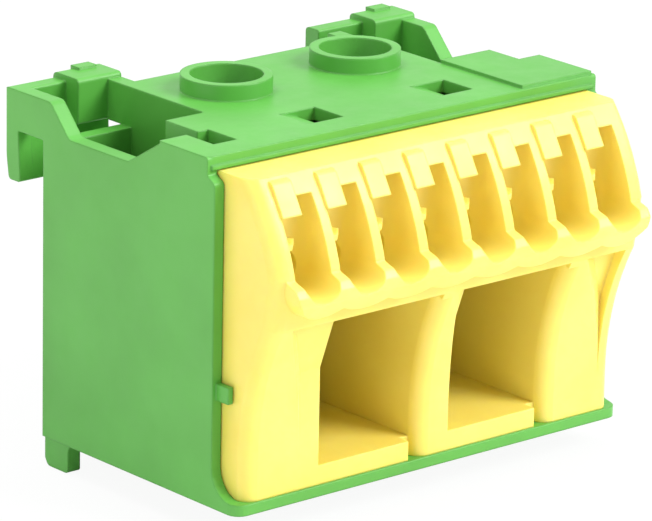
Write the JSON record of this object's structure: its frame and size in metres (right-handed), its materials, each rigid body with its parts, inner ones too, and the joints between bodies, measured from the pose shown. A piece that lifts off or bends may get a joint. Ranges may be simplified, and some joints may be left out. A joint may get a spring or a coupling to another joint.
{
  "type": "earth terminal bar",
  "caption": "Green clip-on housing with a yellow block of push-in chutes over two large screw-clamp entries, all joined by one contact bar.",
  "frame": {"origin": "under the middle of the part, at the level of the rear feet", "axes": "+X to the right seen from the entries, +Y towards the carrier rail, +Z towards the screw collars"},
  "size_m": [0.045, 0.0382, 0.0355],
  "materials": {
    "green_moulding": "satin moulded polyamide, evenly green",
    "yellow_moulding": "satin moulded polyamide, pale yellow, slightly translucent",
    "bar_metal": "bright stamped brass",
    "zinc": "zinc-plated steel",
    "spring_steel": "bright spring steel"
  },
  "bodies": {
    "base": {"housing": "green_moulding", "entry_block": "yellow_moulding", "contact_bar": "bar_metal", "spring_1": "spring_steel", "spring_2": "spring_steel", "spring_3": "spring_steel", "spring_4": "spring_steel", "spring_5": "spring_steel", "spring_6": "spring_steel", "spring_7": "spring_steel", "spring_8": "spring_steel"},
    "screw_left": {"clamp_screw_left": "zinc"},
    "cage_left": {"clamp_cage_left": "zinc"},
    "screw_right": {"clamp_screw_right": "zinc"},
    "cage_right": {"clamp_cage_right": "zinc"}
  },
  "joints": [
    {"name": "screw_left_turn", "type": "hinge", "parent": "base", "child": "screw_left", "pos_m": [-0.0075, 0.00658, 0.02675], "axis": [0, 0, -1], "range_deg": [0, 2160]},
    {"name": "cage_left_lift", "type": "slide", "parent": "base", "child": "cage_left", "axis": [0, 0, 1], "range_m": [0, 0.006]},
    {"name": "screw_right_turn", "type": "hinge", "parent": "base", "child": "screw_right", "pos_m": [0.0075, 0.00658, 0.02675], "axis": [0, 0, -1], "range_deg": [0, 2160]},
    {"name": "cage_right_lift", "type": "slide", "parent": "base", "child": "cage_right", "axis": [0, 0, 1], "range_m": [0, 0.006]}
  ],
  "couplings": [
    {"joint": "screw_left_turn", "follows": "cage_left_lift", "rad_per_m": 6283.2},
    {"joint": "screw_right_turn", "follows": "cage_right_lift", "rad_per_m": 6283.2}
  ]
}
